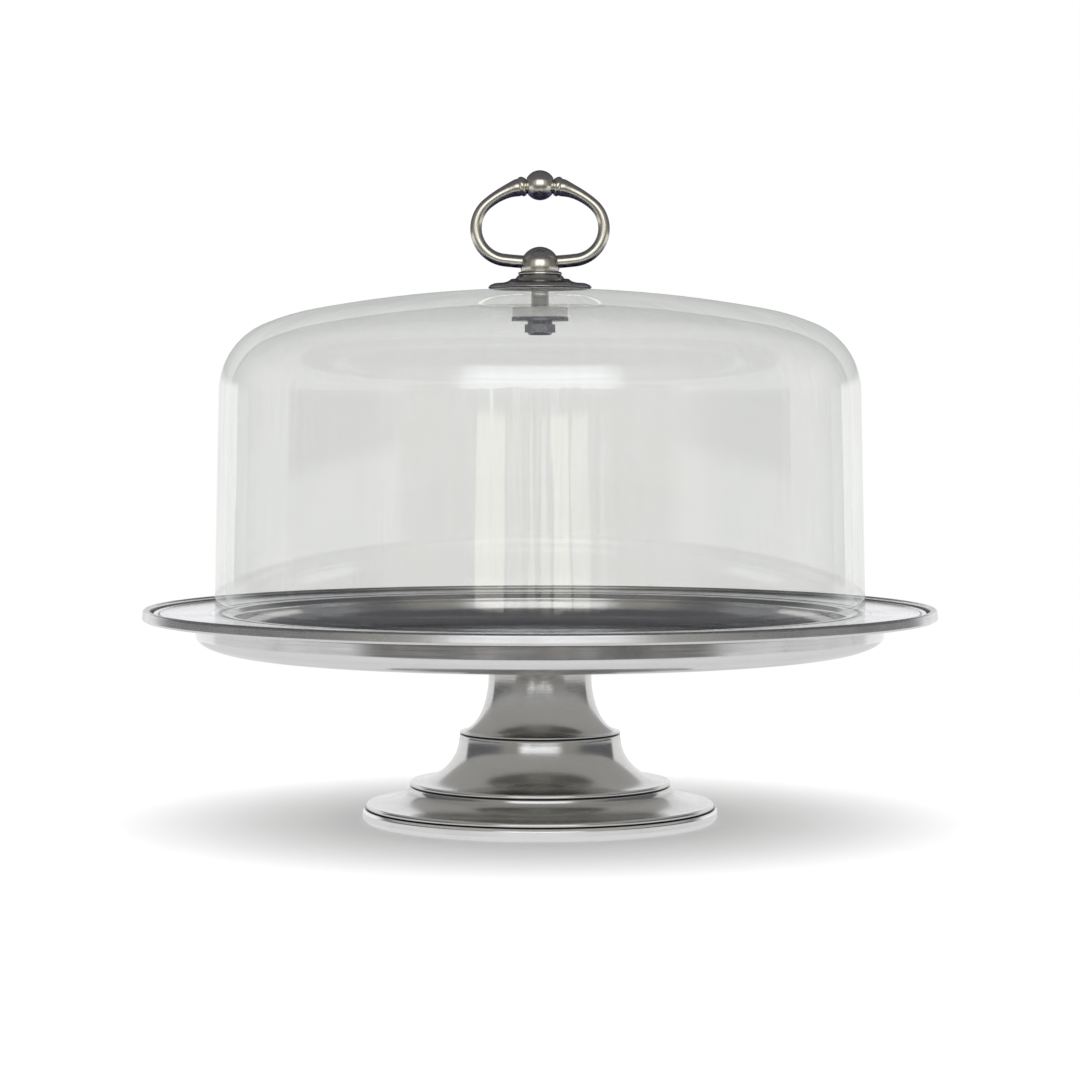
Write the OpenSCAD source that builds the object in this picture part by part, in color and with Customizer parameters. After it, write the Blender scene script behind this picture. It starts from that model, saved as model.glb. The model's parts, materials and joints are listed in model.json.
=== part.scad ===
// Footed pewter cake stand with a lift-off glass dome and a ring handle.
// Origin at the centre of the foot's underside, +Z up, millimetres.
// Every turned piece shares the Z axis; the handle's loop stands in the XZ plane.

/* [Plate] */
// Outer diameter of the plate over its bead
plate_dia = 360; // [340:1:380]
// Height of the flange's top face, where the dome stands
seat_height = 95.1; // [90:0.1:110]
// Thickness of the flange
flange_thick = 2.8; // [2.4:0.1:3.4]
// Depth of the well below the dome's seat
well_depth = 14.1; // [10:0.1:14.1]
// Radius of the well's upper edge
well_rim_r = 139; // [134:0.5:140]
// Thickness of the well's floor and wall
well_wall = 2.4; // [2:0.1:3]
// Radius where the lower dish meets the flange
dish_r = 156; // [154:0.5:160]
// Wall thickness of the lower dish
dish_wall = 1.6; // [1.2:0.1:2]
// Width of the applied bead
bead_width = 3.4; // [3:0.1:4]
// Height of the applied bead
bead_height = 4.9; // [4:0.1:5.5]

/* [Pedestal] */
// Radius of the straight neck
neck_r = 23.4; // [20:0.1:27]
// Radius of the stem's lower lip
stem_lip_r = 36.7; // [34:0.1:38]
// Radius of the middle tier's lower lip
middle_lip_r = 59.4; // [56:0.1:61]
// Radius of the lower tier's outer lip
lower_lip_r = 79.2; // [76:0.1:79.5]
// Outer radius of the foot ring
foot_r = 80.8; // [80:0.1:84]
// Height of the joint between the stem and the middle tier
stem_joint_z = 39.6; // [38:0.1:41]
// Height of the joint between the middle and the lower tier
middle_joint_z = 15.9; // [15:0.1:17]
// Height of the foot ring
foot_ring_h = 5.7; // [5:0.1:6]
// Wall thickness of the cast tiers
tier_wall = 3; // [2.6:0.1:3.2]
// Radius of the rod that clamps the pedestal to the plate
tie_rod_r = 4; // [3:0.5:5]

/* [Glass dome] */
// Outer radius of the dome at its foot
dome_foot_r = 147.45; // [144:0.05:149]
// Outer radius where the wall turns into the shoulder
dome_wall_r = 145.2; // [142:0.1:146]
// Height of the dome's outer apex
dome_apex_z = 241.7; // [236:0.1:250]
// Thickness of the wall
dome_wall = 4.8; // [4:0.1:6]
// Thickness of the glass at the apex
apex_thick = 7; // [6:0.1:8]
// Radius of the shoulder's arc
shoulder_r = 33.3; // [28:0.1:38]
// Radius of the arc between shoulder and crown
haunch_r = 106; // [90:1:115]
// Radius of the hole for the handle's stud
dome_hole_r = 4; // [4:0.5:6]

/* [Handle] */
// Half width of the loop along its bar's centre
loop_half_width = 29; // [26:0.5:32]
// Rise of the loop's crown above its widest line
loop_rise = 19.7; // [18:0.1:22]
// Drop of the loop's base below its widest line
loop_drop = 15.4; // [15:0.1:17]
// Radius of the loop's side bends
side_bend_r = 14.5; // [14:0.1:14.8]
// Radius of the loop's bar
bar_r = 2.55; // [2.2:0.05:2.8]
// Radius of the ball that carries the loop
ball_r = 8.85; // [8:0.05:9.5]
// Radius of the knop on the crown
knop_r = 6.8; // [6:0.1:7.5]
// Radius of the handle's base on the glass
base_r = 23.5; // [20:0.1:26]
// Radius of the stud through the glass
stud_r = 3; // [2.5:0.25:3.5]

/* [Hidden] */
$fn = 96;
arc_steps = 12;
eps = 0.01;
run = 0.04;                                   // gap between a thread and its hole

plate_r = plate_dia / 2;
flange_z = seat_height + 0.3;                 // flange stands a little above the seat
flange_under_z = seat_height - flange_thick;
floor_z = seat_height - well_depth;
floor_under_z = floor_z - well_wall;
dish_under_z = floor_under_z - dish_wall;
bead_in_r = plate_r - bead_width;
seat_edge_r = dome_foot_r + 2.6;              // small step that centres the dome
well_bend_r = 11;
well_floor_r = well_rim_r - well_bend_r;
well_bend_z = floor_z + well_bend_r;
dish_bend_h = 8;                              // height of the dish's rounded corner
dish_flat_r = dish_r - 26;
dish_bend_z = dish_under_z + dish_bend_h;

boss_r = neck_r - tier_wall - 0.2;
boss_step_z = dish_under_z - 4;
boss_low_z = dish_under_z - 15;
clamp_disc_h = 2.5;
clamp_disc_r = middle_lip_r - 5.4;
ledge_under_z = middle_joint_z - tier_wall;
disc_under_z = ledge_under_z - clamp_disc_h;
clamp_washer_h = 1.5;
clamp_nut_h = 4.2;
clamp_washer_z = disc_under_z - clamp_washer_h;
clamp_nut_z = clamp_washer_z - clamp_nut_h;
rod_end_z = clamp_nut_z - 0.8;

wall_draft = atan((dome_foot_r - dome_wall_r) / 100.5);
crown_slope = 10.7;                           // slope where the crown ends
haunch_slope = 23.1;                          // slope where the shoulder begins
glass_seat_r = base_r + 0.1;
boss_glass_r = 25.5;                          // thicker disc of glass round the hole
boss_glass_drop = 1.5;

loop_z = dome_apex_z + 27.3;
crown_shift = oval_shift(loop_rise);
drop_shift = oval_shift(loop_drop);
crown_r = loop_rise + crown_shift;
belly_r = loop_drop + drop_shift;
crown_half = atan((loop_half_width - side_bend_r) / crown_shift);
belly_half = atan((loop_half_width - side_bend_r) / drop_shift);
belly_bar_r = bar_r + 0.35;
tenon_r = 2.4;                                // bar inside the knop
bar_sides = 16;
knop_z = loop_z + loop_rise - 0.3;
ball_z = loop_z - loop_drop - 1.8;
seat_flat_z = dome_apex_z - 0.5;              // ground flat under the handle
gasket_h = 0.5;
base_under_z = seat_flat_z + gasket_h;
base_top_z = base_under_z + 5.9;
collar_h = 1.7;

glass_inner_z = dome_apex_z - apex_thick;
glass_boss_z = glass_inner_z - boss_glass_drop;
soft_washer_h = 4.4;
steel_washer_h = 1.8;
lock_washer_h = 1.5;
cap_nut_h = 4.9;
steel_washer_z = glass_boss_z - soft_washer_h;
lock_washer_z = steel_washer_z - steel_washer_h;
cap_nut_z = lock_washer_z - lock_washer_h;
cap_nut_end_z = cap_nut_z - cap_nut_h;
nut_flats = 12;

// Distance from the crown's middle and radius of the bar, from the knop to the plain bar
swell = [[0, tenon_r], [1.4, tenon_r], [2.8, tenon_r], [4.2, tenon_r], [5.5, tenon_r],
         [6.5, tenon_r], [6.7, 3.7], [7.1, 4.2], [7.7, 4.5], [8.3, 4.55], [8.9, 4.3],
         [9.3, 4], [10, 4.05], [11.2, 3.85], [12.6, 3.55], [14.4, 3.22], [17, 2.9],
         [21, 2.65], [25, bar_r]];

pewter = "#b9b7b2";
worn_pewter = "#8f8d92";
glass_tint = "#dfe6e0";
steel = "#a7a9ac";
clear_rubber = "#d9d9d4";

// Arc of an ellipse about (cx, cz), from angle a0 to a1
function bend(cx, cz, rx, rz, a0, a1, steps = arc_steps) =
    [for (i = [0:steps]) let (a = a0 + (a1 - a0) * i / steps)
        [cx + rx * cos(a), cz + rz * sin(a)]];

// Distance from an oval's widest line to the centre of its flatter arc
function oval_shift(height) =
    let (reach = loop_half_width - side_bend_r, rest = height - side_bend_r)
    (reach * reach - rest * rest) / (2 * rest);

// Point of the loop's centre line where its outward normal stands at an angle
function loop_point(angle) =
    let (tilt = abs(cos(angle)) - eps * eps, up = sin(angle) > 0,
         side = sign(cos(angle)) * (loop_half_width - side_bend_r))
    up && tilt <= sin(crown_half) ? arc_point(0, -crown_shift, crown_r, angle)
    : !up && tilt <= sin(belly_half) ? arc_point(0, drop_shift, belly_r, angle)
    : arc_point(side, 0, side_bend_r, angle);

function arc_point(cx, cz, radius, angle) =
    [cx + radius * cos(angle), 0, loop_z + cz + radius * sin(angle)];

function ring_points(angle, radius) =
    [for (j = [0:bar_sides - 1]) let (turn = 360 * j / bar_sides)
        loop_point(angle) + radius * [cos(turn) * cos(angle), sin(turn), cos(turn) * sin(angle)]];

// Angle and radius of every ring of the loop, once round from the crown's middle
function crown_angle(distance) = distance / crown_r * 180 / PI;
side_start = 90 + crown_half;
side_sweep = 180 - crown_half - belly_half;
half_loop = concat(
    [for (station = swell) [90 + crown_angle(station[0]), station[1]]],
    [for (i = [0:14]) [side_start + side_sweep * i / 14, bar_r + 0.35 * pow(i / 14, 2)]],
    [for (i = [1:3]) [270 - belly_half * (1 - i / 3), belly_bar_r]]);
loop_stations = concat(
    half_loop,
    [for (i = [len(half_loop) - 2:-1:1]) [180 - half_loop[i][0], half_loop[i][1]]]);

// Concave sweep of a tier, from its outer low edge up to its inner high edge
function cavetto(out_r, low_z, in_r, high_z) =
    bend(out_r, high_z, out_r - in_r, high_z - low_z, 270, 180);

// Outline from the dome's apex to its foot: crown, haunch and shoulder, then the wall
function crown_radius(wall_r, haunch, shoulder) =
    (wall_r - haunch * (sin(haunch_slope) - sin(crown_slope))
     - shoulder * (cos(wall_draft) - sin(haunch_slope))) / sin(crown_slope);

function dome_outline(wall_r, apex_z, haunch, shoulder, foot_r) =
    let (crown = crown_radius(wall_r, haunch, shoulder),
         haunch_x = (crown - haunch) * sin(crown_slope),
         haunch_z = apex_z - crown + (crown - haunch) * cos(crown_slope),
         shoulder_x = haunch_x + (haunch - shoulder) * sin(haunch_slope),
         shoulder_z = haunch_z + (haunch - shoulder) * cos(haunch_slope))
    concat(
        bend(0, apex_z - crown, crown, crown, 90, 90 - crown_slope),
        bend(haunch_x, haunch_z, haunch, haunch, 90 - crown_slope, 90 - haunch_slope),
        bend(shoulder_x, shoulder_z, shoulder, shoulder, 90 - haunch_slope, wall_draft),
        [[foot_r, seat_height]]);

module turned(points) {
    rotate_extrude() polygon(points);
}

module ring(out_r, in_r, low_z, height) {
    translate([0, 0, low_z])
        difference() {
            cylinder(r = out_r, h = height);
            translate([0, 0, -eps]) cylinder(r = in_r, h = height + 2 * eps);
        }
}

// Hole for the loop's bar: an arc of round section in the XZ plane
module bar_bore(centre_z, radius, middle, half_sweep, section) {
    translate([0, 0, centre_z])
        rotate([90, 0, 0])
            rotate([0, 0, middle - half_sweep])
                rotate_extrude(angle = 2 * half_sweep)
                    translate([radius, 0]) circle(r = section);
}

// Well, seat and flange in one casting, with two turned grooves inside the bead
module plate() {
    color(pewter)
        turned(concat(
            [[0, floor_under_z], [well_floor_r, floor_under_z]],
            bend(well_floor_r, well_bend_z, well_bend_r + well_wall,
                 well_bend_r + well_wall, 270, 360),
            [[well_rim_r + well_wall, flange_under_z], [bead_in_r, flange_under_z],
             [bead_in_r, flange_z - 0.6], [bead_in_r - 1.2, flange_z - 0.6],
             [bead_in_r - 1.8, flange_z + 0.2], [bead_in_r - 3.6, flange_z + 0.2],
             [bead_in_r - 4, flange_z - 0.2], [bead_in_r - 4.6, flange_z],
             [seat_edge_r + 0.5, flange_z], [seat_edge_r, seat_height]],
            bend(well_rim_r + 2, seat_height - 2, 2, 2, 90, 180, 6),
            bend(well_floor_r, well_bend_z, well_bend_r, well_bend_r, 360, 270),
            [[0, floor_z]]));
}

// Thin lower dish that gives the plate its rounded underside
module plate_underdish() {
    color(pewter)
        turned(concat(
            [[boss_r, dish_under_z]],
            bend(dish_flat_r, dish_bend_z, dish_r - dish_flat_r, dish_bend_h, 270, 360),
            [[dish_r, flange_under_z], [dish_r - 2.4, flange_under_z]],
            bend(dish_flat_r, dish_bend_z, dish_r - dish_flat_r - 2.4,
                 dish_bend_h - dish_wall, 360, 270),
            [[boss_r, floor_under_z]]));
}

module rim_bead() {
    crest = bead_width / 2;
    corner = 1.2;
    crest_z = flange_under_z + bead_height - crest;
    color(pewter)
        turned(concat(
            [[bead_in_r, flange_under_z]],
            bend(plate_r - corner, flange_under_z + corner, corner, corner, 270, 360, 6),
            bend(plate_r - crest, crest_z, crest, crest, 0, 180)));
}

// Trumpet-shaped upper stem, open inside, standing on the middle tier
module stem() {
    lip_z = stem_joint_z + 1.2;
    neck_z = lip_z + 26;
    hollow_r = stem_lip_r - 3.7;
    neck_in_r = neck_r - tier_wall;
    color(pewter)
        turned(concat(
            [[stem_lip_r - 0.3, stem_joint_z], [stem_lip_r, stem_joint_z + 0.4]],
            cavetto(stem_lip_r, lip_z, neck_r, neck_z),
            [[neck_r, dish_under_z], [neck_in_r, dish_under_z]],
            bend(hollow_r, neck_z, hollow_r - neck_in_r, neck_z - stem_joint_z, 180, 270)));
}

// Tier with a ledge on top that carries the piece above it
module tier(lip_r, joint_z, lip_h, top_r, top_z, ledge_r, foot_in_r) {
    wall_top_z = top_z - tier_wall;
    color(pewter)
        turned(concat(
            [[foot_in_r, joint_z], [lip_r - 0.5, joint_z], [lip_r, joint_z + 0.5]],
            bend(lip_r - lip_h, joint_z + lip_h, lip_h, lip_h, 0, 90, 6),
            cavetto(lip_r - lip_h, joint_z + 2 * lip_h, top_r, top_z - 0.4),
            [[top_r - 0.3, top_z], [ledge_r, top_z], [ledge_r, wall_top_z],
             [top_r - tier_wall, wall_top_z]],
            bend(foot_in_r, wall_top_z, foot_in_r - top_r + tier_wall,
                 wall_top_z - joint_z - 0.8, 180, 270)));
}

module middle_tier() {
    tier(middle_lip_r, middle_joint_z, 1.1, stem_lip_r, stem_joint_z,
         stem_lip_r - 10, middle_lip_r - 5.4);
}

module lower_tier() {
    tier(lower_lip_r, foot_ring_h, 1.2, middle_lip_r, middle_joint_z,
         middle_lip_r - 11, lower_lip_r - 6.2);
}

module foot_ring() {
    corner = 1.4;
    ring_in_r = lower_lip_r - 6.2;
    color(pewter)
        turned(concat(
            [[ring_in_r, 0]],
            bend(foot_r - corner, corner, corner, corner, 270, 360, 6),
            bend(foot_r - 1, foot_ring_h - 1, 1, 1, 0, 90, 6),
            [[ring_in_r, foot_ring_h]]));
}

// Threaded boss soldered under the plate, which also centres the stem
module centre_boss() {
    color(pewter)
        difference() {
            union() {
                translate([0, 0, boss_step_z])
                    cylinder(r = boss_r, h = floor_under_z - boss_step_z);
                translate([0, 0, boss_low_z]) cylinder(r = 12, h = boss_step_z - boss_low_z);
            }
            translate([0, 0, boss_low_z - eps])
                cylinder(r = tie_rod_r, h = floor_under_z - 2 - boss_low_z);
        }
}

module tie_rod() {
    rod_top_z = floor_under_z - 3;
    color(steel)
        translate([0, 0, rod_end_z])
            cylinder(r = tie_rod_r - run, h = rod_top_z - rod_end_z);
}

module clamp_disc() {
    color(steel) ring(clamp_disc_r, tie_rod_r + 0.3, disc_under_z, clamp_disc_h);
}

module clamp_washer() {
    color(steel) ring(12, tie_rod_r + 0.3, clamp_washer_z, clamp_washer_h);
}

// Hexagonal prism with a through or blind round hole
module hex_nut(flats, low_z, height) {
    translate([0, 0, low_z]) cylinder(d = flats / cos(30), h = height, $fn = 6);
}

module clamp_nut() {
    color(steel)
        difference() {
            hex_nut(13, clamp_nut_z, clamp_nut_h);
            translate([0, 0, clamp_nut_z - 1]) cylinder(r = tie_rod_r, h = clamp_nut_h + 2);
        }
}

// Blown dome: flat ground foot, crown thicker than the wall, drilled for the stud
module glass_dome() {
    inner_wall = dome_wall_r - dome_wall;
    inner_foot = dome_foot_r - dome_wall;
    outer = dome_outline(dome_wall_r, dome_apex_z, haunch_r, shoulder_r, dome_foot_r);
    inner = dome_outline(inner_wall, glass_inner_z, haunch_r - dome_wall,
                         shoulder_r - dome_wall, inner_foot);
    color(glass_tint, 0.35)
        difference() {
            turned(concat(outer, [for (i = [len(inner) - 1:-1:0]) inner[i]]));
            translate([0, 0, seat_flat_z]) cylinder(r = glass_seat_r + 5, h = 5);
            translate([0, 0, glass_inner_z - 5]) cylinder(r = dome_hole_r, h = 20);
        }
    color(glass_tint, 0.35) glass_boss();
}

// Disc of extra glass round the hole, rounded into the crown
module glass_boss() {
    overlap = 1;
    turned([[dome_hole_r, glass_boss_z], [boss_glass_r, glass_boss_z],
            [boss_glass_r + 1.8, glass_boss_z + 0.3], [boss_glass_r + 3.5, glass_inner_z - 0.4],
            [boss_glass_r + 3.5, glass_inner_z + overlap], [dome_hole_r, glass_inner_z + overlap]]);
}

module hole_bush() {
    color(clear_rubber)
        ring(dome_hole_r - 0.1, stud_r + run, glass_boss_z, seat_flat_z - glass_boss_z);
}

module upper_gasket() {
    color(clear_rubber) ring(base_r - 2.5, stud_r + run, seat_flat_z, gasket_h);
}

module lower_gasket() {
    color(clear_rubber) ring(12.5, stud_r + run, steel_washer_z, soft_washer_h);
}

module retaining_washer() {
    color(steel) ring(12.8, stud_r + run, lock_washer_z, steel_washer_h);
}

module lock_washer() {
    color(steel) ring(5.6, stud_r + run, cap_nut_z, lock_washer_h);
}

// Cap nut with a low domed end that hides the stud
module cap_nut() {
    cap_h = 1.2;
    cap_r = 5.6;
    color(steel)
        difference() {
            union() {
                hex_nut(nut_flats, cap_nut_end_z + cap_h, cap_nut_h - cap_h);
                turned(concat(
                    [[0, cap_nut_end_z + cap_h], [0, cap_nut_end_z]],
                    bend(cap_r - cap_h, cap_nut_end_z + cap_h, cap_h, cap_h, 270, 360, 6)));
            }
            translate([0, 0, cap_nut_end_z + 1.6]) cylinder(r = stud_r + run, h = cap_nut_h);
        }
}

module handle_stud() {
    stud_low_z = cap_nut_end_z + 1.8;
    stud_top_z = base_top_z + 2.6;
    color(steel)
        translate([0, 0, stud_low_z]) cylinder(r = stud_r, h = stud_top_z - stud_low_z);
}

// Spreading base of the handle, with a bevelled edge on the glass
module handle_base() {
    neck = 10.4;
    spread = base_r - 3.1;
    color(worn_pewter)
        turned(concat(
            [[stud_r + run, base_under_z], [base_r, base_under_z],
             [base_r, base_under_z + 0.6], [base_r - 0.9, base_under_z + 1.6]],
            cavetto(spread, base_under_z + 2.4, neck, base_top_z),
            [[stud_r + run, base_top_z]]));
}

module ball_collar() {
    color(worn_pewter) ring(9.9, 8.6, base_top_z, collar_h);
}

// Ball drilled sideways for the loop and upwards for the stud
module handle_ball() {
    color(worn_pewter)
        difference() {
            translate([0, 0, ball_z]) sphere(r = ball_r);
            translate([-ball_r, -ball_r, base_top_z - 2 * ball_r])
                cube([2 * ball_r, 2 * ball_r, 2 * ball_r]);
            bar_bore(loop_z + drop_shift, belly_r, 270, belly_half, belly_bar_r + run);
            translate([0, 0, base_top_z - 1]) cylinder(r = stud_r + run, h = 3.8);
        }
}

// Closed oval bar that swells into a lip on each side of the knop
module handle_loop() {
    rings = len(loop_stations);
    points = [for (station = loop_stations) each ring_points(station[0], station[1])];
    sides = [for (i = [0:rings - 1], j = [0:bar_sides - 1])
        let (next = (i + 1) % rings, side = (j + 1) % bar_sides)
        [i * bar_sides + j, next * bar_sides + j, next * bar_sides + side, i * bar_sides + side]];
    color(worn_pewter) polyhedron(points, sides);
}

// Bead on the crown of the loop, threaded on the bar
module handle_knop() {
    half_length = 6;
    bulge = 6.9;
    end_angle = acos(half_length / bulge);
    color(worn_pewter)
        difference() {
            translate([0, 0, knop_z])
                rotate([0, 90, 0])
                    turned(concat(
                        [[0, -half_length]],
                        bend(0, 0, knop_r, bulge, end_angle - 90, 90 - end_angle, 20),
                        [[0, half_length]]));
            bar_bore(loop_z - crown_shift, crown_r, 90, crown_half, tenon_r + run);
        }
}

plate();
plate_underdish();
rim_bead();
stem();
middle_tier();
lower_tier();
foot_ring();
centre_boss();
tie_rod();
clamp_disc();
clamp_washer();
clamp_nut();
glass_dome();
hole_bush();
upper_gasket();
lower_gasket();
retaining_washer();
lock_washer();
cap_nut();
handle_stud();
handle_base();
ball_collar();
handle_ball();
handle_loop();
handle_knop();
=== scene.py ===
import json
import math

import bmesh
import bpy
import numpy as np
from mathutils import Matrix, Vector


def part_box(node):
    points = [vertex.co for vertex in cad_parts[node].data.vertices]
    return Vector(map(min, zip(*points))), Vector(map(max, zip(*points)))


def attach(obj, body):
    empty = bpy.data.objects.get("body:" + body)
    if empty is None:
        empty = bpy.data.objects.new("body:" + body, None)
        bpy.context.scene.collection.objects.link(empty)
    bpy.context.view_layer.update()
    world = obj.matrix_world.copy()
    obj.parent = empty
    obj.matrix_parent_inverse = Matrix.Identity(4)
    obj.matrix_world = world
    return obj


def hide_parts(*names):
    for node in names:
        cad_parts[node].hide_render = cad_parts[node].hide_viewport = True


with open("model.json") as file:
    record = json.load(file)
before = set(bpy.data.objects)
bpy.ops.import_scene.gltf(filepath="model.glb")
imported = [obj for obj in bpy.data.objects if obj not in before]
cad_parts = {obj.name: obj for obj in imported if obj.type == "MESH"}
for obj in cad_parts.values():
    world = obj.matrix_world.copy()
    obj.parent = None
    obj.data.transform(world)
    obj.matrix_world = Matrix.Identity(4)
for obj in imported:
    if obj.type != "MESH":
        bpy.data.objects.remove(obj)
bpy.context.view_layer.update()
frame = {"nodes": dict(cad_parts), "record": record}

MM = 0.001
TINY = 1e-6
ROUND_STEPS = 288             # segments round a wide turned piece
SMALL_STEPS = 128             # segments round a small turned piece


# ---------------------------------------------------------------- measures from the frame

def low(node):
    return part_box(node)[0].z / MM


def high(node):
    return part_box(node)[1].z / MM


def radius(node):
    return round(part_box(node)[1].x / MM, 2)


PLATE_R = radius("rim_bead")
BEAD_IN_R = radius("plate")
DISH_R = radius("plate_underdish")
FOOT_R = radius("foot_ring")
LOWER_R = radius("lower_tier")
MIDDLE_R = radius("middle_tier")
STEM_R = radius("stem")
BASE_R = radius("handle_base")
SEAT_Z = low("glass_dome")
UNDER_FLANGE_Z = low("rim_bead")
UNDER_FLOOR_Z = low("plate")
UNDER_DISH_Z = low("plate_underdish")
MIDDLE_JOINT_Z = low("middle_tier")
STEM_JOINT_Z = low("stem")
FOOT_TOP_Z = high("foot_ring")
NECK_R = 23.4                 # outside of the stem's neck
PEDESTAL_WALL = 3
RING_IN_R = LOWER_R - 6.2     # the opening under the foot


# ---------------------------------------------------------------- outlines, in millimetres

def arc(cx, cz, rx, rz, start, end, steps=20):
    """Points along an ellipse's arc about (cx, cz), with angles in degrees."""
    angles = np.radians(np.linspace(start, end, steps + 1))
    return [(cx + rx * math.cos(a), cz + rz * math.sin(a)) for a in angles]


def cavetto(out_r, low_z, in_r, high_z, steps=28):
    """Concave quarter ellipse from a low outer edge up to a high inner edge."""
    return arc(out_r, high_z, out_r - in_r, high_z - low_z, 270, 180, steps)


def outline(*corners, edge_share=0.48, fillet_points=7):
    """Closed outline. A corner is (r, z) or (r, z, fillet), and a list is a ready-made arc.

    A fillet takes no more than edge_share of either edge that it joins.
    """
    flat = []
    for corner in corners:
        flat += [(*p, 0) for p in corner] if isinstance(corner, list) else [(*corner, 0)[:3]]
    points = []
    for before, here, after in zip(flat[-1:] + flat[:-1], flat, flat[1:] + flat[:1]):
        corner, fillet = Vector(here[:2]), here[2]
        back, ahead = Vector(before[:2]) - corner, Vector(after[:2]) - corner
        if fillet == 0 or min(back.length, ahead.length) < TINY:
            points.append(tuple(corner))
            continue
        reach = min(fillet / math.tan(back.angle(ahead) / 2), edge_share * back.length,
                    edge_share * ahead.length)
        start, end = corner + back.normalized() * reach, corner + ahead.normalized() * reach
        for t in np.linspace(0, 1, fillet_points):
            points.append(tuple(start * (1 - t) ** 2 + corner * 2 * t * (1 - t) + end * t * t))
    return points


def densify(points, closed, longest=3.0, guard=0.3):
    """Adds points along straight stretches, with one close to each end to keep corners crisp."""
    ends = points[1:] + points[:1] if closed else points[1:]
    dense = []
    for (r0, z0), (r1, z1) in zip(points, ends):
        length = math.hypot(r1 - r0, z1 - z0)
        if length < 1e-5:
            continue
        shares = [0.0]
        if length > 4 * guard:
            count = max(1, math.ceil(length / longest))
            shares += list(np.linspace(guard, length - guard, count + 1) / length)
        dense += [(r0 + (r1 - r0) * s, z0 + (z1 - z0) * s) for s in shares]
    return dense if closed else dense + [points[-1]]


def cavity(points, closed):
    """How hollow the outline is at each point: above 0 in grooves, below 0 on edges."""
    line = np.array(points + points[:1] if closed else points)
    steps = np.hypot(*np.diff(line, axis=0).T)
    place = np.concatenate([[0], np.cumsum(steps)])
    total = place[-1]
    line_area = np.sum(line[:-1, 0] * line[1:, 1] - line[1:, 0] * line[:-1, 1])
    outward = 1 if line_area > 0 else -1

    def at(distance):
        distance = distance % total if closed else np.clip(distance, 0, total)
        return np.stack([np.interp(distance, place, line[:, k]) for k in (0, 1)], 1)

    here = place[:-1] if closed else place
    hollow = np.zeros(len(here))
    reaches = (0.5, 1.2, 2.6)
    for reach in reaches:
        ahead, back, middle = at(here + reach), at(here - reach), at(here)
        along = ahead - back
        along /= np.maximum(np.hypot(*along.T), TINY)[:, None]
        normal = outward * np.stack([along[:, 1], -along[:, 0]], 1)
        hollow += np.sum(((ahead + back) / 2 - middle) * normal, 1) / reach
    return hollow / len(reaches)


# ---------------------------------------------------------------- meshes

def piece(name, body, verts, faces, replaced, hollow=None):
    """A smooth closed mesh that rides on a body and stands for CAD nodes."""
    mesh = bpy.data.meshes.new(name)
    mesh.from_pydata([tuple(v) for v in verts], [], faces)
    if hollow is not None:
        layer = mesh.attributes.new("cavity", "FLOAT", "POINT")
        layer.data.foreach_set("value", np.asarray(hollow, np.float32))
    shaped = bmesh.new()
    shaped.from_mesh(mesh)
    bmesh.ops.recalc_face_normals(shaped, faces=shaped.faces)
    for face in shaped.faces:
        face.smooth = True
    shaped.to_mesh(mesh)
    shaped.free()
    made = bpy.data.objects.new(name, mesh)
    bpy.context.scene.collection.objects.link(made)
    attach(made, body)
    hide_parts(*replaced)
    return made


def lathe(name, body, points, replaced, steps=ROUND_STEPS, grooves=(), groove_depth=1.2):
    """Turns an outline about Z. It is a ring, or a solid when it starts and ends on the axis.

    Grooves are (r, z, width): seams with a neighbour. They raise the cavity value there: pewter
    gathers dark patina in them, and glass takes painted dark lines.
    """
    closed = points[0][0] > TINY
    dense = densify(points, closed)
    hollow = cavity(dense, closed)
    for groove_r, groove_z, width in grooves:
        away = np.hypot(*(np.array(dense) - (groove_r, groove_z)).T)
        hollow = np.maximum(hollow, groove_depth - away / width)
    angles = np.linspace(0, 2 * math.pi, steps, endpoint=False)
    verts, rings, hollows = [], [], []
    for (r, z), value in zip(dense, hollow):
        start = len(verts)
        if r < TINY:
            verts.append((0, 0, z * MM))
            rings.append([start] * steps)
        else:
            verts += [(r * MM * math.cos(a), r * MM * math.sin(a), z * MM) for a in angles]
            rings.append(list(range(start, start + steps)))
        hollows += [value] * (len(verts) - start)
    faces = []
    pairs = zip(rings, rings[1:] + rings[:1]) if closed else zip(rings, rings[1:])
    for one, two in pairs:
        for i in range(steps):
            j = (i + 1) % steps
            face = list(dict.fromkeys((one[i], one[j], two[j], two[i])))
            if len(face) > 2:
                faces.append(face)
    return piece(name, body, verts, faces, replaced, hollows)


# ---------------------------------------------------------------- materials

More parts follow.
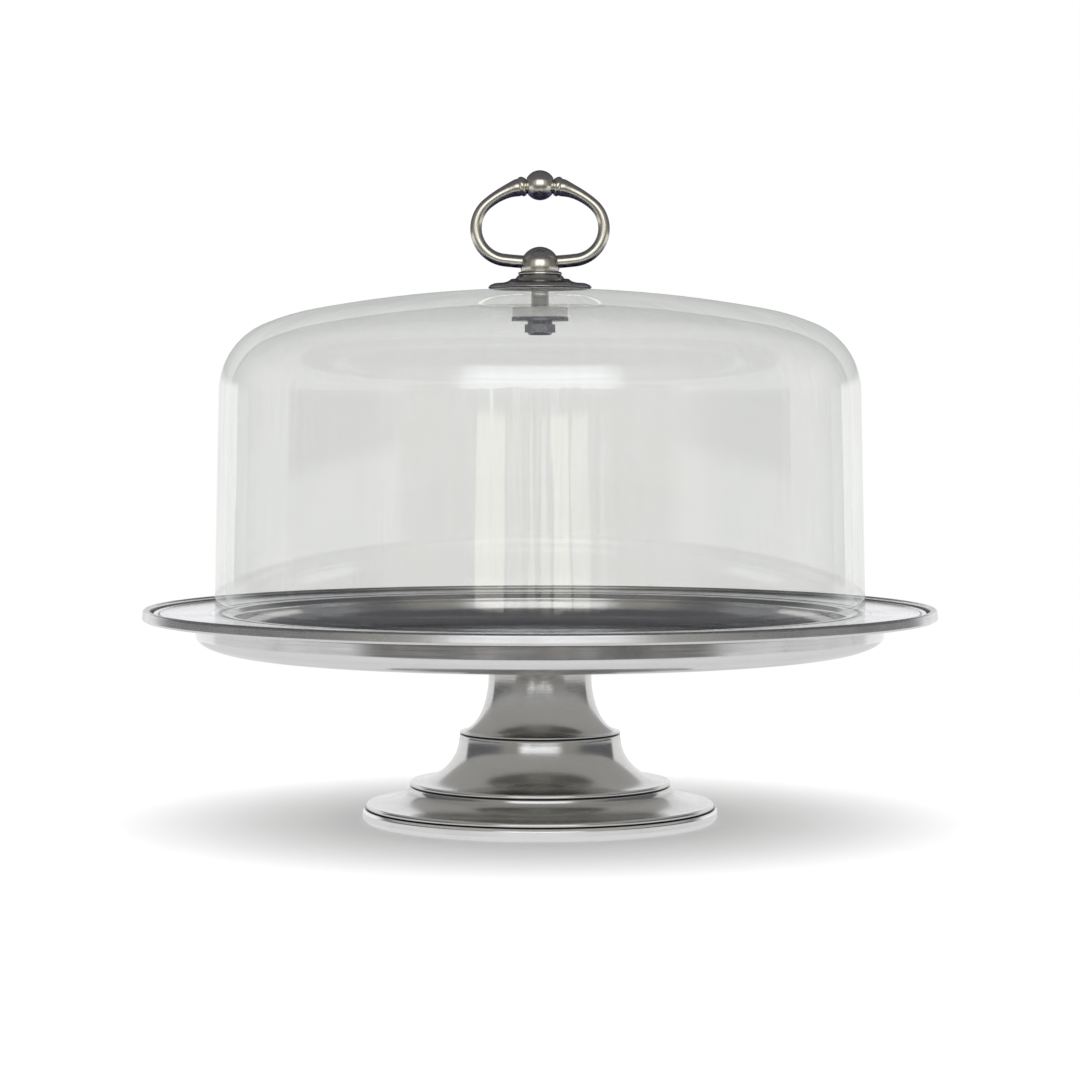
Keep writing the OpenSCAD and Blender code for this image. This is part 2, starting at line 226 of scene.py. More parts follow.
class Tree:
    """Short way to write a node tree."""

    def __init__(self, tree):
        self.tree = tree
        tree.nodes.clear()

    def add(self, kind, settings=None, **inputs):
        made = self.tree.nodes.new("ShaderNode" + kind)
        for key, value in (settings or {}).items():
            setattr(made, key, value)
        for key, value in inputs.items():
            slot = made.inputs[int(key[1:])] if key[0] == "i" and key[1:].isdigit() \
                else made.inputs[key.replace("_", " ")]
            self.feed(slot, value)
        return made

    def feed(self, slot, value):
        if isinstance(value, bpy.types.NodeSocket):
            self.tree.links.new(value, slot)
        elif isinstance(value, tuple) and len(value) == 3 and slot.type == "RGBA":
            slot.default_value = (*value, 1)
        else:
            slot.default_value = value

    def math(self, operation, a, b=0.0):
        return self.add("Math", {"operation": operation}, i0=a, i1=b).outputs[0]

    def ramp(self, value, low_in, high_in, low_out=0.0, high_out=1.0):
        made = self.add("MapRange", {"interpolation_type": "SMOOTHSTEP"}, Value=value,
                        From_Min=low_in, From_Max=high_in, To_Min=low_out, To_Max=high_out)
        return made.outputs["Result"]

    def blend(self, factor, a, b):
        """Mixes two colours, which the Mix node takes at 6 and 7 and gives at 2."""
        return self.add("Mix", {"data_type": "RGBA"}, Factor=factor, i6=a, i7=b).outputs[2]

    def mix(self, factor, a, b):
        return self.add("MixShader", i0=factor, i1=a, i2=b).outputs[0]

    def place(self):
        """The point in the object's own metres, and its three coordinates."""
        point = self.add("TexCoord").outputs["Object"]
        return point, self.add("SeparateXYZ", Vector=point).outputs

    def noise(self, place, scale, detail, **more):
        return self.add("TexNoise", Vector=place, Scale=scale, Detail=detail, **more).outputs[0]

    def cavity(self):
        return self.add("Attribute", {"attribute_name": "cavity"}).outputs["Fac"]

    def surface(self, shader):
        self.add("OutputMaterial", Surface=shader)


def material(name):
    made = bpy.data.materials.new(name)
    made.use_nodes = True
    return made, Tree(made.node_tree)


def pewter(name, tone, edge_tone, shine, brushing=1.0, turned=True, patina=0.75, relief=1.0,
           pitting=1.0, painted_underside_shade=None, lines_per_metre=1500.0):
    """Satin pewter: brushed round the axis, smudged, dark in its grooves, bright on its edges.

    Painted underside shade is (shade, from, to): a face takes that painted shade as it turns
    to look down, between those two slopes.
    """
    made, t = material(name)
    place, axes = t.place()
    across = t.math("SQRT", t.math("ADD", t.math("MULTIPLY", axes[0], axes[0]),
                                   t.math("MULTIPLY", axes[1], axes[1])))
    angle = t.math("ARCTAN2", axes[1], axes[0])
    if turned:
        stretched = t.add("CombineXYZ", X=t.math("MULTIPLY", across, lines_per_metre),
                          Y=t.math("MULTIPLY", t.math("COSINE", angle), 5.0),
                          Z=t.math("MULTIPLY", t.math("SINE", angle), 5.0)).outputs[0]
        lines = t.add("TexNoise", {"noise_dimensions": "4D"}, Vector=stretched,
                      W=t.math("MULTIPLY", axes[2], lines_per_metre), Scale=1.0, Detail=4.0,
                      Roughness=0.7).outputs[0]
    else:
        lines = t.noise(place, 420.0, 3.0)
    smudge = t.noise(place, 38.0, 6.0, Roughness=0.62, Distortion=0.3)
    cloud = t.noise(place, 11.0, 3.0)
    grain = t.noise(place, 1500.0, 2.0)
    pit_cells = t.add("TexVoronoi", Vector=place, Scale=130.0)
    pit_size = t.ramp(pit_cells.outputs["Color"], 0.84, 1.0, 0.0, 0.075)
    pits = t.math("MULTIPLY", pitting, t.ramp(t.math(
        "SUBTRACT", pit_size, pit_cells.outputs["Distance"]), 0.0, 0.04))
    hollow = t.cavity()
    grime = t.math("MULTIPLY", t.ramp(hollow, 0.03, 0.3), patina)
    worn = t.ramp(hollow, -0.05, -0.25)

    def shade(r, g, b):
        return tuple(min(1.0, c * k) for c, k in zip(tone, (r, g, b)))

    colour = t.blend(t.ramp(cloud, 0.35, 0.68, 0.0, 0.45), tone, shade(0.92, 0.91, 0.88))
    colour = t.blend(t.math("MULTIPLY", t.ramp(lines, 0.3, 0.7), 0.18 * brushing), colour,
                     shade(0.72, 0.72, 0.72))
    colour = t.blend(t.ramp(smudge, 0.5, 0.75, 0.0, 0.2), colour, shade(0.76, 0.76, 0.74))
    colour = t.blend(t.ramp(grain, 0.35, 0.7, 0.0, 0.16), colour, shade(0.7, 0.7, 0.7))
    colour = t.blend(t.math("MULTIPLY", worn, 0.25), colour, shade(1.2, 1.2, 1.2))
    colour = t.blend(grime, colour, (0.035, 0.034, 0.04))
    colour = t.blend(t.math("MULTIPLY", pits, 0.75), colour, (0.1, 0.095, 0.09))
    # painted shade: faces that look down are darkened towards the given colour
    if painted_underside_shade:
        underside_shade_colour, from_slope, to_slope = painted_underside_shade
        up = t.add("SeparateXYZ", Vector=t.add("NewGeometry").outputs["Normal"]).outputs[2]
        colour = t.blend(t.ramp(up, -from_slope, -to_slope), colour, underside_shade_colour)

    rough = t.math("ADD", t.ramp(smudge, 0.3, 0.75, shine, shine + 0.08),
                   t.math("MULTIPLY", t.ramp(lines, 0.25, 0.75, -0.04, 0.05), brushing))
    rough = t.math("ADD", rough, t.math("MULTIPLY", grime, 0.2))
    height = t.math("ADD", t.math("MULTIPLY", lines, 0.5 * brushing),
                    t.math("MULTIPLY", smudge, 0.5))
    height = t.math("SUBTRACT", height, t.math("MULTIPLY", pits, 3.0))
    bump = t.add("Bump", Distance=0.000012 * relief, Height=height).outputs[0]
    shader = t.add("BsdfPrincipled", Base_Color=colour, Metallic=1.0, Roughness=rough,
                   Specular_Tint=edge_tone, Normal=bump)
    if turned:
        shader.inputs["Anisotropic"].default_value = 0.5
        shader.inputs["Anisotropic Rotation"].default_value = 0.25
        tangent = t.add("Tangent", {"direction_type": "RADIAL", "axis": "Z"}).outputs[0]
        t.feed(shader.inputs["Tangent"], tangent)
    t.surface(shader.outputs[0])
    return made


def clear_glass(name, tint, edge_tint, shine):
    """Thin blown glass: it dims and tints what is behind it and mirrors what is before it."""
    made, t = material(name)
    place, axes = t.place()
    angle = t.math("ARCTAN2", axes[1], axes[0])
    drawn = t.add("CombineXYZ", X=t.math("MULTIPLY", t.math("COSINE", angle), 14.0),
                  Y=t.math("MULTIPLY", t.math("SINE", angle), 14.0),
                  Z=t.math("MULTIPLY", axes[2], 5.0)).outputs[0]
    wave = t.noise(drawn, 1.0, 2.0)
    streak = t.noise(drawn, 5.0, 4.0)
    smear = t.noise(place, 22.0, 5.0)
    line = t.ramp(t.cavity(), 0.3, 1.0)
    bump = t.add("Bump", Distance=0.00012, Height=wave).outputs[0]
    facing = t.add("LayerWeight", Blend=0.5, Normal=bump).outputs["Facing"]
    colour = t.blend(t.ramp(facing, 0.45, 0.97), tint, edge_tint)
    colour = t.blend(t.math("MULTIPLY", t.ramp(streak, 0.3, 0.75), 0.6), colour,
                     tuple(c * 0.98 for c in tint))
    colour = t.blend(t.math("MULTIPLY", t.ramp(smear, 0.35, 0.7), 0.6), colour,
                     tuple(c * k for c, k in zip(tint, (0.985, 0.987, 0.98))))
    # painted shade: glass is darkened along line, where the cavity rises at the boss's edges,
    # standing in for light bent away by the glass
    colour = t.blend(t.math("MULTIPLY", line, 0.7), colour, (0.55, 0.55, 0.53))
    gloss = t.math("ADD", shine, t.math("MULTIPLY", 0.3, t.math("POWER", facing, 5.0)))
    through = t.add("BsdfTransparent", Color=colour)
    mirror = t.add("BsdfGlossy", Color=(1.0, 1.0, 1.0), Normal=bump,
                   Roughness=t.ramp(smear, 0.5, 0.8, 0.015, 0.06))
    t.surface(t.mix(gloss, through.outputs[0], mirror.outputs[0]))
    return made


def soft_seal(name, colour, cloudy=0.6, sheen_share=0.06):
    """Frosted soft plastic, cloudy enough to hide what is inside it."""
    made, t = material(name)
    cloud = t.noise(t.add("TexCoord").outputs["Object"], 300.0, 3.0)
    shade = t.blend(cloud, colour, tuple(c * 0.94 for c in colour))
    haze = t.add("BsdfDiffuse", Color=shade)
    through = t.add("BsdfTransparent", Color=shade)
    sheen = t.add("BsdfGlossy", Color=(1.0, 1.0, 1.0), Roughness=0.25)
    body = t.mix(cloudy, through.outputs[0], haze.outputs[0])
    t.surface(t.mix(sheen_share, body, sheen.outputs[0]))
    return made


EDGE_TONE = (0.95, 0.95, 0.96)

# plate and underdish: faces that look straight down take a painted shade, a darker grey under the
# plate
PLATE_METAL = pewter("pewter_plate", (0.8, 0.797, 0.795), (0.95, 0.95, 0.97), 0.12,
                     painted_underside_shade=((0.55, 0.55, 0.53), 0.93, 0.985))
BEAD_METAL = pewter("pewter_bead", (0.76, 0.752, 0.735), EDGE_TONE, 0.25, relief=1.6)
RING_METAL = pewter("pewter_ring", (0.84, 0.837, 0.83), EDGE_TONE, 0.17)
FOOT_METAL = pewter("pewter_foot", (0.65, 0.644, 0.625), EDGE_TONE, 0.145)
# handle: the dark bluish tone at grazing angles is a painted dark reflection along its outline,
# and faces that look down take a painted navy shade
HANDLE_METAL = pewter("pewter_handle", (0.9, 0.86, 0.74), (0.25, 0.26, 0.4), 0.19,
                      brushing=0.2, turned=False, patina=0.9, relief=0.35, pitting=0.2,
                      painted_underside_shade=((0.13, 0.13, 0.2), 0.15, 0.65))
STEEL = pewter("steel", (0.42, 0.42, 0.45), (0.7, 0.7, 0.72), 0.22, patina=0.4)
GLASS = clear_glass("glass", (0.962, 0.967, 0.958), (0.81, 0.82, 0.805), 0.13)
GLASS_INSIDE = clear_glass("glass_inside", (0.99, 0.99, 0.988), (0.98, 0.982, 0.978), 0.035)
SEAL = soft_seal("clear_seal", (0.93, 0.93, 0.91))


# ---------------------------------------------------------------- stand

def make_bead():
    """Rounded rim that stands proud of the plate, leaning in a little."""
    inner, crest, lean = BEAD_IN_R, high("rim_bead"), 0.34
    shoulder = crest - 1.15
    return lathe("rim_bead_metal", "stand", outline(
        (inner, UNDER_FLANGE_Z, 0.2), (PLATE_R - 1.2, UNDER_FLANGE_Z, 0.5),
        (PLATE_R - 0.15, UNDER_FLANGE_Z + 0.55, 0.4), (PLATE_R, UNDER_FLANGE_Z + 1.0, 0.3),
        (PLATE_R - lean, shoulder, 0.5),
        arc(PLATE_R - lean - 1.35, shoulder, 1.35, 1.15, 20, 90, 10),
        arc(inner + 1.0, shoulder, 1.0, 1.15, 90, 180, 10),
        (inner, shoulder - 0.8)), ["rim_bead"],
        grooves=[(inner, high("plate") - 0.2, 0.6)])


def make_plate():
    """Flange with a scribed groove, a step down to the dome's seat, and the recessed well."""
    flange_z = SEAT_Z + 0.3
    groove_r, seat_edge_r = BEAD_IN_R - 4.3, radius("glass_dome") + 2.6
    well_r, well_depth, bend, wall = 139, 14.1, 11, 2.4
    floor_r, floor_z = well_r - bend, SEAT_Z - well_depth
    return lathe("plate_metal", "stand", outline(
        (0, UNDER_FLOOR_Z), (floor_r, UNDER_FLOOR_Z),
        arc(floor_r, floor_z + bend, bend + wall, bend + wall, 270, 358),
        (floor_r + bend + wall, UNDER_FLANGE_Z, 0.6), (BEAD_IN_R, UNDER_FLANGE_Z, 0.1),
        (BEAD_IN_R, flange_z - 0.9, 0.3), (BEAD_IN_R - 1.1, flange_z - 0.7, 0.5),
        (BEAD_IN_R - 1.9, flange_z + 0.2, 0.6), (groove_r + 0.9, flange_z + 0.15, 0.5),
        (groove_r + 0.3, flange_z - 0.25, 0.4), (groove_r - 0.3, flange_z, 0.4),
        (seat_edge_r + 9, flange_z, 0.5), (seat_edge_r + 8.4, flange_z - 0.12, 0.4),
        (seat_edge_r + 0.6, flange_z - 0.05, 0.3), (seat_edge_r, SEAT_Z, 0.3),
        (well_r + 2.2, SEAT_Z, 1.2), (well_r, SEAT_Z - 2, 1.6),
        arc(floor_r, floor_z + bend, bend, bend, 358, 270),
        (0, floor_z)), ["plate"],
        grooves=[(BEAD_IN_R - 0.6, flange_z - 0.6, 0.6), (groove_r, flange_z - 0.25, 0.35),
                 (DISH_R, UNDER_FLANGE_Z, 0.9)])


def make_underdish():
    """Shallow bowl under the plate, from the stem's neck out to the flange."""
    bend, rise, wall, floor_wall = 26, 8, 2.4, 1.6
    flat_r, hole_r, inside = DISH_R - bend, NECK_R - PEDESTAL_WALL, DISH_R - wall
    return lathe("plate_underdish_metal", "stand", outline(
        (hole_r, UNDER_DISH_Z, 0.3), (60, UNDER_DISH_Z), (flat_r - 30, UNDER_DISH_Z),
        arc(flat_r, UNDER_DISH_Z + rise, bend, rise, 270, 360, 32),
        (DISH_R, UNDER_FLANGE_Z), (inside, UNDER_FLANGE_Z),
        arc(flat_r, UNDER_DISH_Z + rise, inside - flat_r, rise - floor_wall, 360, 270, 24),
        (hole_r, UNDER_FLOOR_Z)), ["plate_underdish"],
        grooves=[(DISH_R, UNDER_FLANGE_Z, 0.8), (NECK_R, UNDER_DISH_Z, 1.0)])


def make_stem():
    """Trumpet that narrows from a lipped foot to the neck under the dish."""
    lip_z, neck_z = STEM_JOINT_Z + 1.2, STEM_JOINT_Z + 27.2
    hollow_r, bore_r = STEM_R - 3.7, NECK_R - PEDESTAL_WALL
    return lathe("stem_metal", "stand", outline(
        (STEM_R - 0.9, STEM_JOINT_Z, 0.3), (STEM_R, STEM_JOINT_Z + 0.6, 0.5),
        (STEM_R, lip_z - 0.1, 0.5), (STEM_R - 1.0, lip_z + 0.05, 0.2),
        cavetto(STEM_R, lip_z, NECK_R, neck_z)[3:],
        (NECK_R, UNDER_DISH_Z), (bore_r, UNDER_DISH_Z),
        arc(hollow_r, neck_z, hollow_r - bore_r, neck_z - STEM_JOINT_Z, 180, 270)),
        ["stem"], 192,
        grooves=[(STEM_R - 0.6, STEM_JOINT_Z + 0.1, 0.7), (NECK_R, UNDER_DISH_Z, 0.7)])


def make_tier(name, lip_r, joint_z, lip, top_r, top_z, ledge_r, foot_in_r):
    """Hollow step: a rounded lip, a concave rise, and a ledge that the next piece stands on."""
    wall_top_r, wall_top_z = top_r - PEDESTAL_WALL, top_z - PEDESTAL_WALL
    return lathe(name + "_metal", "stand", outline(
        (foot_in_r, joint_z), (lip_r - 0.9, joint_z, 0.3), (lip_r, joint_z + 0.6, 0.5),
        arc(lip_r - lip, joint_z + lip, lip, lip, 0, 80, 8),
        cavetto(lip_r - lip, joint_z + 2 * lip, top_r, top_z - 0.4)[1:],
        (top_r - 0.8, top_z, 0.3), (ledge_r, top_z), (ledge_r, wall_top_z),
        (wall_top_r, wall_top_z),
        arc(foot_in_r, wall_top_z, foot_in_r - wall_top_r, wall_top_z - joint_z - 0.8,
            180, 270)),
        [name],
        grooves=[(lip_r - 0.6, joint_z + 0.1, 0.7), (top_r - 0.6, top_z, 0.6)])


def make_foot_ring():
    """Light band that the stand rests on."""
    return lathe("foot_ring_metal", "stand", outline(
        (RING_IN_R, 0, 0.5), (FOOT_R - 1.6, 0, 0.6), (FOOT_R, 1.6, 1.4),
        (FOOT_R, FOOT_TOP_Z - 1, 0.9), (FOOT_R - 0.9, FOOT_TOP_Z, 0.5),
        (RING_IN_R, FOOT_TOP_Z)), ["foot_ring"],
        grooves=[(LOWER_R - 0.2, FOOT_TOP_Z, 0.9)])


for made, metal in (
        (make_bead(), BEAD_METAL),
        (make_plate(), PLATE_METAL),
        (make_underdish(), PLATE_METAL),
        (make_stem(), FOOT_METAL),
        (make_tier("middle_tier", MIDDLE_R, MIDDLE_JOINT_Z, 1.1, STEM_R, STEM_JOINT_Z,
                   STEM_R - 10, MIDDLE_R - 5.4), FOOT_METAL),
        (make_tier("lower_tier", LOWER_R, FOOT_TOP_Z, 1.2, MIDDLE_R, MIDDLE_JOINT_Z,
                   MIDDLE_R - 11, RING_IN_R), FOOT_METAL),
        (make_foot_ring(), RING_METAL)):
    made.data.materials.append(metal)


# ---------------------------------------------------------------- glass dome

WALL_DRAFT, CROWN_SLOPE, HAUNCH_SLOPE = 1.28, 10.7, 23.1


def dome_line(wall_r, apex_z, haunch, shoulder, foot_r, start_slope=0.0):
    """Crown, haunch and shoulder arcs that meet tangentially, then the straight wall."""
    sines = [math.sin(math.radians(a)) for a in (CROWN_SLOPE, HAUNCH_SLOPE)]
    cosines = [math.cos(math.radians(a)) for a in (CROWN_SLOPE, HAUNCH_SLOPE)]
    crown = (wall_r - haunch * (sines[1] - sines[0])
             - shoulder * (math.cos(math.radians(WALL_DRAFT)) - sines[1])) / sines[0]
    haunch_x = (crown - haunch) * sines[0]
    haunch_z = apex_z - crown + (crown - haunch) * cosines[0]
    shoulder_x = haunch_x + (haunch - shoulder) * sines[1]
    shoulder_z = haunch_z + (haunch - shoulder) * cosines[1]
    joins = [90 - slope for slope in (start_slope, CROWN_SLOPE, HAUNCH_SLOPE)] + [WALL_DRAFT]
    return (arc(0, apex_z - crown, crown, crown, *joins[:2], 30)
            + arc(haunch_x, haunch_z, haunch, haunch, *joins[1:3], 14)[1:]
            + arc(shoulder_x, shoulder_z, shoulder, shoulder, *joins[2:], 36)[1:]
            + [(foot_r, SEAT_Z)])


def make_dome():
    """Blown glass with a flat seat for the handle on top and a low boss round the hole inside."""
    wall, haunch, shoulder, foot_r = 4.8, 106, 33.3, radius("glass_dome")
    wall_r = foot_r - 2.25
    seat_z, apex_z = high("glass_dome"), high("glass_dome") + 0.5
    inner_z, hole_r, boss_r = apex_z - 7, 4, 25.5
    outer = dome_line(wall_r, apex_z, haunch, shoulder, foot_r, start_slope=2.5)
    inner = dome_line(wall_r - wall, inner_z, haunch - wall, shoulder - wall, foot_r - wall,
                      start_slope=3.1)
    return lathe("glass_dome_blown", "dome", outline(
        (hole_r, seat_z, 0.2), (23.8, seat_z, 0.3), outer[:-1],
        (foot_r, SEAT_Z, 1.6), (foot_r - wall, SEAT_Z, 1.2), inner[-2::-1],
        (boss_r + 3.2, inner_z - 0.75, 0.6), (boss_r + 1.2, inner_z - 1.5, 0.9),
        (hole_r, inner_z - 1.5, 0.2)), ["glass_dome"], 360,
        # these grooves carry the painted dark lines along the boss's edges
        grooves=[(boss_r + 3.2, inner_z - 0.75, 0.45), (boss_r + 0.3, inner_z - 1.5, 0.3)])


def finish_dome(dome):
    """Faces that look in towards the cake take the inner finish."""
    dome.data.materials.append(GLASS)
    dome.data.materials.append(GLASS_INSIDE)
    centre = Vector((0, 0, high("plate") * MM))
    for face in dome.data.polygons:
        face.material_index = int(face.normal.dot(face.center - centre) < 0)


finish_dome(make_dome())


# ---------------------------------------------------------------- handle

LOOP_Z, HALF_WIDTH, RISE, DROP, SIDE_BEND, BAR = 269.0, 29.0, 19.7, 15.4, 14.5, 2.55
REACH = HALF_WIDTH - SIDE_BEND


def oval_shift(height):
    """Distance from the oval's widest line to the centre of its flatter arc."""
    rest = height - SIDE_BEND
    return (REACH ** 2 - rest ** 2) / (2 * rest)


CROWN_SHIFT, DROP_SHIFT = oval_shift(RISE), oval_shift(DROP)
CROWN_R, BELLY_R = RISE + CROWN_SHIFT, DROP + DROP_SHIFT
CROWN_HALF, BELLY_HALF = math.atan(REACH / CROWN_SHIFT), math.atan(REACH / DROP_SHIFT)


def loop_point(angle):
    """Centre of the bar where the loop's outward normal stands at an angle, in radians."""
    tilt, up = abs(math.cos(angle)), math.sin(angle) > 0
    if up and tilt <= math.sin(CROWN_HALF):
        centre, bend = (0, -CROWN_SHIFT), CROWN_R
    elif not up and tilt <= math.sin(BELLY_HALF):
        centre, bend = (0, DROP_SHIFT), BELLY_R
    else:
        centre, bend = (math.copysign(REACH, math.cos(angle)), 0), SIDE_BEND
    return np.array([centre[0] + bend * math.cos(angle), 0,
                     LOOP_Z + centre[1] + bend * math.sin(angle)])


BELLY_BAR = BAR + 0.35

# distance from the crown's middle and radius of the bar, from the knop to the plain bar
SWELL = [(0, 2.4), (5.6, 2.4), (5.9, 3.25), (6.3, 3.45), (6.7, 3.85), (7.2, 4.25), (7.8, 4.5),
         (8.3, 4.55), (8.8, 4.35), (9.2, 4.0), (9.6, 3.9), (10.1, 4.02), (11.2, 3.86),
         (12.6, 3.56), (14.4, 3.23), (17, 2.92), (21, 2.66), (25, BAR)]


def half_loop():
    """Angle and radius of each ring from the crown's middle down the left side to the belly."""
    distances, radii = np.array(SWELL).T
    fine = np.unique(np.concatenate([distances, np.arange(9, 25, 0.5)]))
    rings = [(math.pi / 2 + d / CROWN_R, np.interp(d, distances, radii)) for d in fine]
    start, end = math.pi / 2 + CROWN_HALF, 3 * math.pi / 2 - BELLY_HALF
    for share in np.linspace(0, 1, 48):
        rings.append((start + (end - start) * share, BAR + (BELLY_BAR - BAR) * share ** 2))
    for share in np.linspace(0, 1, 17)[1:]:
        rings.append((end + BELLY_HALF * share, BELLY_BAR))
    return rings


def make_loop(sides=40):
    """Oval ring of round bar that swells towards the knop at its top."""
    left = half_loop()
    rings = left + [(math.pi - angle, r) for angle, r in left[-2:0:-1]]
    verts = []
    for angle, r in rings:
        centre = loop_point(angle)
        outward = np.array([math.cos(angle), 0, math.sin(angle)])
        for turn in np.linspace(0, 2 * math.pi, sides, endpoint=False):
            offset = r * (math.cos(turn) * outward + math.sin(turn) * np.array([0, 1, 0]))
            verts.append((centre + offset) * MM)
    count = len(rings)
    faces = [(i * sides + j, (i + 1) % count * sides + j,
              (i + 1) % count * sides + (j + 1) % sides, i * sides + (j + 1) % sides)
             for i in range(count) for j in range(sides)]
    radii = np.array([r for _, r in rings])
    hollow = np.clip((np.roll(radii, 1) + np.roll(radii, -1)) / 2 - radii, -0.3, 0.3)
    return piece("handle_loop_metal", "dome", verts, faces, ["handle_loop"],
                 np.repeat(hollow, sides))


def make_knop():
    """Barrel on the loop's crown: turned upright, then laid along X."""
    half, bulge, knop_r = 6.0, 6.9, (high("handle_knop") - low("handle_knop")) / 2
    end = math.degrees(math.acos(half / bulge))
    made = lathe("handle_knop_metal", "dome", outline(
        (0, -half), arc(0, 0, knop_r, bulge, end - 90, 90 - end, 40), (0, half)),
        ["handle_knop"], 72)
    centre_z = (high("handle_knop") + low("handle_knop")) / 2
    for v in made.data.vertices:
        x, y, z = v.co
        v.co = (z, y, -x + centre_z * MM)
    return made


def make_ball():
    """Ball with a flat underside."""
    ball_r, cut_z = radius("handle_ball"), low("handle_ball")
    centre_z = high("handle_ball") - ball_r
    start = math.degrees(math.asin((cut_z - centre_z) / ball_r))
    return lathe("handle_ball_metal", "dome", outline(
        (0, cut_z), arc(0, centre_z, ball_r, ball_r, start, 90, 40)),
        ["handle_ball"], 96)


def make_base():
    """Stepped concave foot of the handle, with the stud's hole through it."""
    under_z, top_z = low("handle_base"), high("handle_base")
    stud_r, neck = 3.04, 10.4
    return lathe("handle_base_metal", "dome", outline(
        (stud_r, under_z), (BASE_R - 0.4, under_z, 0.2), (BASE_R, under_z + 0.5, 0.3),
        (BASE_R - 0.9, under_z + 1.6, 0.5),
        cavetto(BASE_R - 2.6, under_z + 2.3, 13.0, top_z - 1.0)[:-4],
        (12.0, under_z + 3.9, 0.3), (11.2, under_z + 4.0, 0.3), (10.6, top_z - 0.6, 0.3),
        (neck - 0.4, top_z, 0.3), (stud_r, top_z)), ["handle_base"], SMALL_STEPS)


def make_collar():
    """Thin rounded ring round the foot of the ball."""
    low_z, top_z = low("ball_collar"), high("ball_collar")
    return lathe("ball_collar_metal", "dome", outline(
        (8.6, low_z), (9.6, low_z, 0.2), arc(9.2, (low_z + top_z) / 2, 0.7, 0.8, -80, 80, 10),
        (8.8, top_z, 0.2), (8.55, top_z - 0.3)), ["ball_collar"], SMALL_STEPS)


for made in (make_loop(), make_knop(), make_ball(), make_base(), make_collar()):
    made.data.materials.append(HANDLE_METAL)


# ---------------------------------------------------------------- kept CAD pieces

FINISH = {"steel": STEEL, "clear_seal": SEAL, "pewter_foot": FOOT_METAL}
SLOTS = {row["node"]: row["material_slot"] for row in frame["record"]["subparts"]}
for name, node in frame["nodes"].items():
    if not node.hide_render:
        node.data.materials.clear()
        node.data.materials.append(FINISH[SLOTS[name]])


# ---------------------------------------------------------------- stage

FOCAL_PX, FRAME_PX = 3300, 1080
DISTANCE, EYE_Z, AIM_Z = 1.5, 0.189, 0.1276      # metres
WHITE = (1.0, 1.0, 1.0)


def stage_mesh(name, verts, faces, shader):
    mesh = bpy.data.meshes.new(name)
    mesh.from_pydata(verts, [], faces)
    mesh.materials.append(shader)
    made = bpy.data.objects.new(name, mesh)
    bpy.context.scene.collection.objects.link(made)
    return made


def front_mask(t, sideways, towards, narrow=50, wide=62):
    """1 for what lies on the camera's side of the table, 0 beyond an angle either way."""
    turn = t.math("ARCTAN2", sideways, towards)
    return t.ramp(t.math("ABSOLUTE", turn), math.radians(narrow), math.radians(wide), 1.0, 0.0)


def make_floor(reach=6.0, count=96):
    """Pale paper. Its far reaches glow like the backdrop, and mirrors see the dim room there."""
    made, t = material("floor_paper")
    place, axes = t.place()
    away = t.add("VectorMath", {"operation": "LENGTH"}, i0=place).outputs["Value"]
    grain = t.noise(place, 60.0, 3.0)
    shade = t.blend(grain, (0.86, 0.86, 0.86), (0.88, 0.88, 0.88))
    paper = t.add("BsdfDiffuse", Color=shade)
    glow = t.add("Emission", Color=WHITE)
    pale = t.mix(t.ramp(away, 0.35, 0.8), paper.outputs[0], glow.outputs[0])
    towards = t.math("MULTIPLY", axes[1], -1.0)
    front = t.math("MULTIPLY", front_mask(t, axes[0], towards), t.ramp(towards, 0.4, 0.52))
    dim = t.math("MAXIMUM", front, t.ramp(away, 2.6, 3.4))
    card = t.add("Emission", Color=t.blend(dim, (0.79, 0.79, 0.8), (0.14, 0.14, 0.14)))
    t.surface(t.mix(t.add("LightPath").outputs["Is Glossy Ray"], pale, card.outputs[0]))
    made.cycles.emission_sampling = "NONE"
    ring = [(reach * math.cos(a), reach * math.sin(a), 0)
            for a in np.linspace(0, 2 * math.pi, count, endpoint=False)]
    stage_mesh("floor", ring, [tuple(range(count))], made)


def make_sweep(distance=0.52, height=0.25, half_turn=60, count=48):
    """Low white card round the back of the table, there for the reflections only."""
    made, t = material("sweep_card")
    up = t.place()[1][2]
    shade = t.blend(t.ramp(up, height * 0.84, height), (1.0, 1.0, 1.01), (0.1, 0.1, 0.12))
    t.surface(t.add("Emission", Color=shade).outputs[0])
    made.cycles.emission_sampling = "NONE"
    angles = np.radians(np.linspace(90 - half_turn, 90 + half_turn, count + 1))
    verts = [(distance * math.cos(a), distance * math.sin(a), z)
             for z in (0.0, height) for a in angles]
    faces = [(i, i + 1, count + 2 + i, count + 1 + i) for i in range(count)]
    card = stage_mesh("sweep", verts, faces, made)
    card.visible_camera = card.visible_diffuse = card.visible_shadow = False
    card.visible_transmission = False


# upright bright strips in front: left and right edge in degrees to the right, then brightness
STRIPS = [(-22.4, -12.8, 1.0), (-11.5, -6.0, 0.3), (-3.2, -1.2, 0.55), (0.7, 3.0, 0.6),
          (4.2, 9.8, 1.0), (10.8, 17.3, 0.7), (21.0, 23.0, 0.25)]
STRIP_EDGE = 0.35             # degrees over which a strip fades either side of its edge


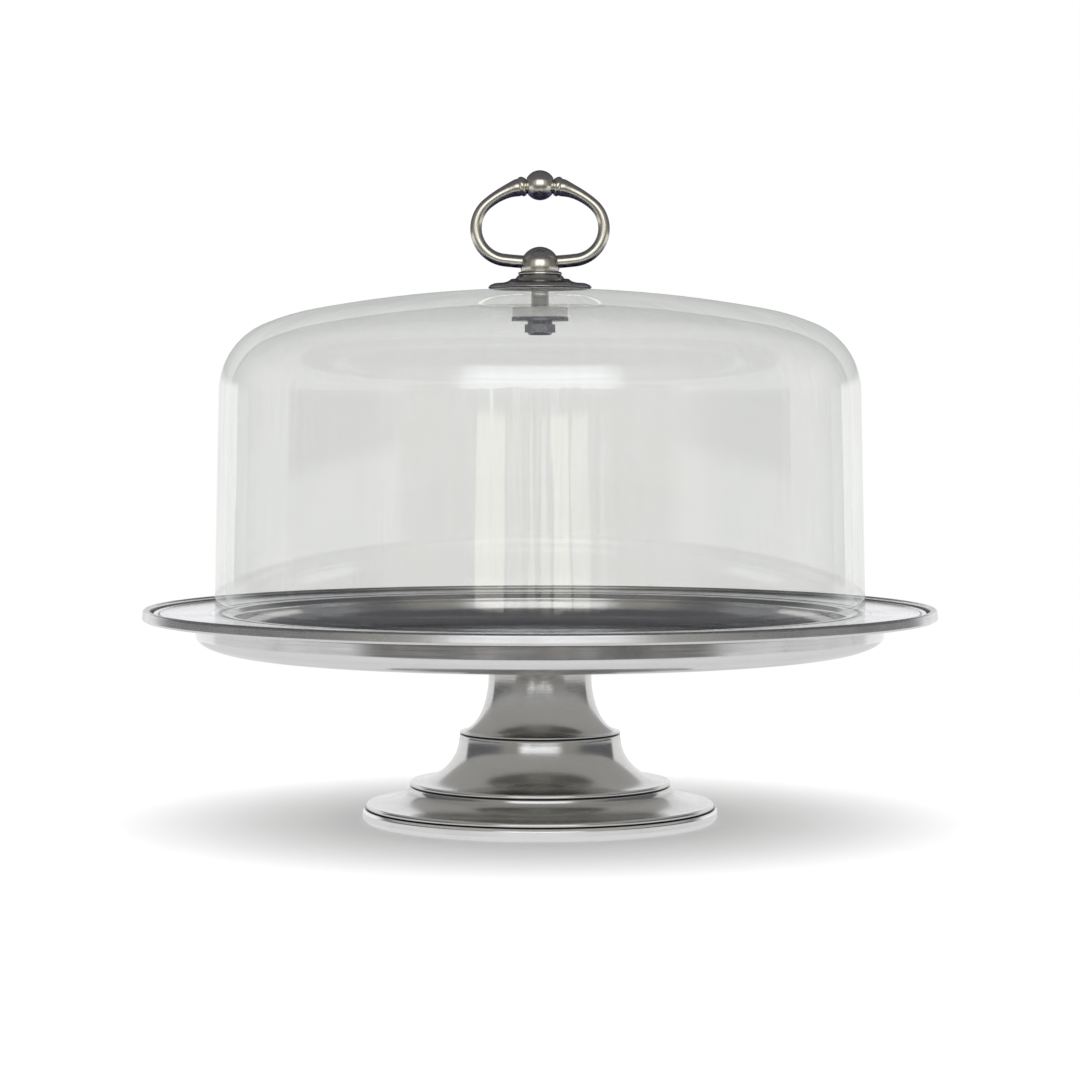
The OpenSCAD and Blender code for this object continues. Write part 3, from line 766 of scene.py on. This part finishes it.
def make_world():
    """White to the eye and through glass. Mirrors see a dim room with windows and some sky.

    All angles are in degrees: azimuth to the right of the camera's side, climb above level.
    """
    world = bpy.data.worlds.new("studio")
    bpy.context.scene.world = world
    world.use_nodes = True
    t = Tree(world.node_tree)
    way = t.add("TexCoord").outputs["Generated"]
    x, y, z = t.add("SeparateXYZ", Vector=way).outputs
    degrees = 180 / math.pi
    azimuth = t.math("MULTIPLY", t.math("ARCTAN2", x, t.math("MULTIPLY", y, -1.0)), degrees)
    climb = t.math("MULTIPLY", t.math("ARCSINE", z), degrees)
    off_front = t.math("ABSOLUTE", azimuth)
    room = t.blend(t.ramp(off_front, 46, 68), (0.36, 0.35, 0.325), (0.15, 0.15, 0.165))
    room = t.blend(t.ramp(climb, 26, 42), room, (0.11, 0.11, 0.125))
    room = t.blend(t.ramp(climb, -9, -4), (0.14, 0.14, 0.15), room)
    grain = t.add("TexNoise", {"noise_dimensions": "1D"}, W=azimuth, Scale=2.2,
                  Detail=3.0).outputs[0]
    strips = 0.0
    for left, right, level in STRIPS:
        rise = t.ramp(azimuth, left - STRIP_EDGE, left + STRIP_EDGE, 0.0, level)
        fall = t.ramp(azimuth, right - STRIP_EDGE, right + STRIP_EDGE, 1.0, 0.0)
        strip = t.math("MULTIPLY", rise, fall)
        strips = t.math("MAXIMUM", strips, strip)
    strips = t.math("MULTIPLY", strips, t.ramp(climb, 2.25, 2.5, 1.0, 0.0))
    strips = t.math("MULTIPLY", strips, t.ramp(grain, 0.3, 0.6, 0.72, 1.0))
    room = t.blend(strips, room, (1.2, 1.13, 1.0))
    ragged = t.noise(way, 16.0, 6.0, Roughness=0.7)
    sky_low = t.math("ADD", climb, t.math("MULTIPLY", ragged, -14.0))
    sky = t.math("MULTIPLY", t.ramp(sky_low, -3.5, -1.5), t.ramp(climb, 33, 40, 1.0, 0.0))
    sky = t.math("MULTIPLY", sky, t.ramp(off_front, 22, 34, 1.0, 0.0))
    room = t.blend(sky, room, (1.42, 1.45, 1.52))
    path = t.add("LightPath").outputs
    seen = t.math("MAXIMUM", path["Is Camera Ray"], path["Is Transmission Ray"])
    colour = t.blend(seen, room, WHITE)
    colour = t.blend(path["Is Diffuse Ray"], colour, (1.57, 1.57, 1.57))
    t.add("OutputWorld", Surface=t.add("Background", Color=colour).outputs[0])
    world.cycles.sampling_method = "NONE"


def make_camera():
    data = bpy.data.cameras.new("camera")
    data.lens = FOCAL_PX / FRAME_PX * data.sensor_width
    data.clip_end = 50
    camera = bpy.data.objects.new("camera", data)
    camera.location = (0, -DISTANCE, EYE_Z)
    aim = Vector((0, 0, AIM_Z)) - camera.location
    camera.rotation_euler = aim.to_track_quat("-Z", "Y").to_euler()
    bpy.context.scene.collection.objects.link(camera)
    bpy.context.scene.camera = camera


make_floor()
make_sweep()
make_world()
make_camera()
bpy.context.scene.view_settings.view_transform = "Standard"
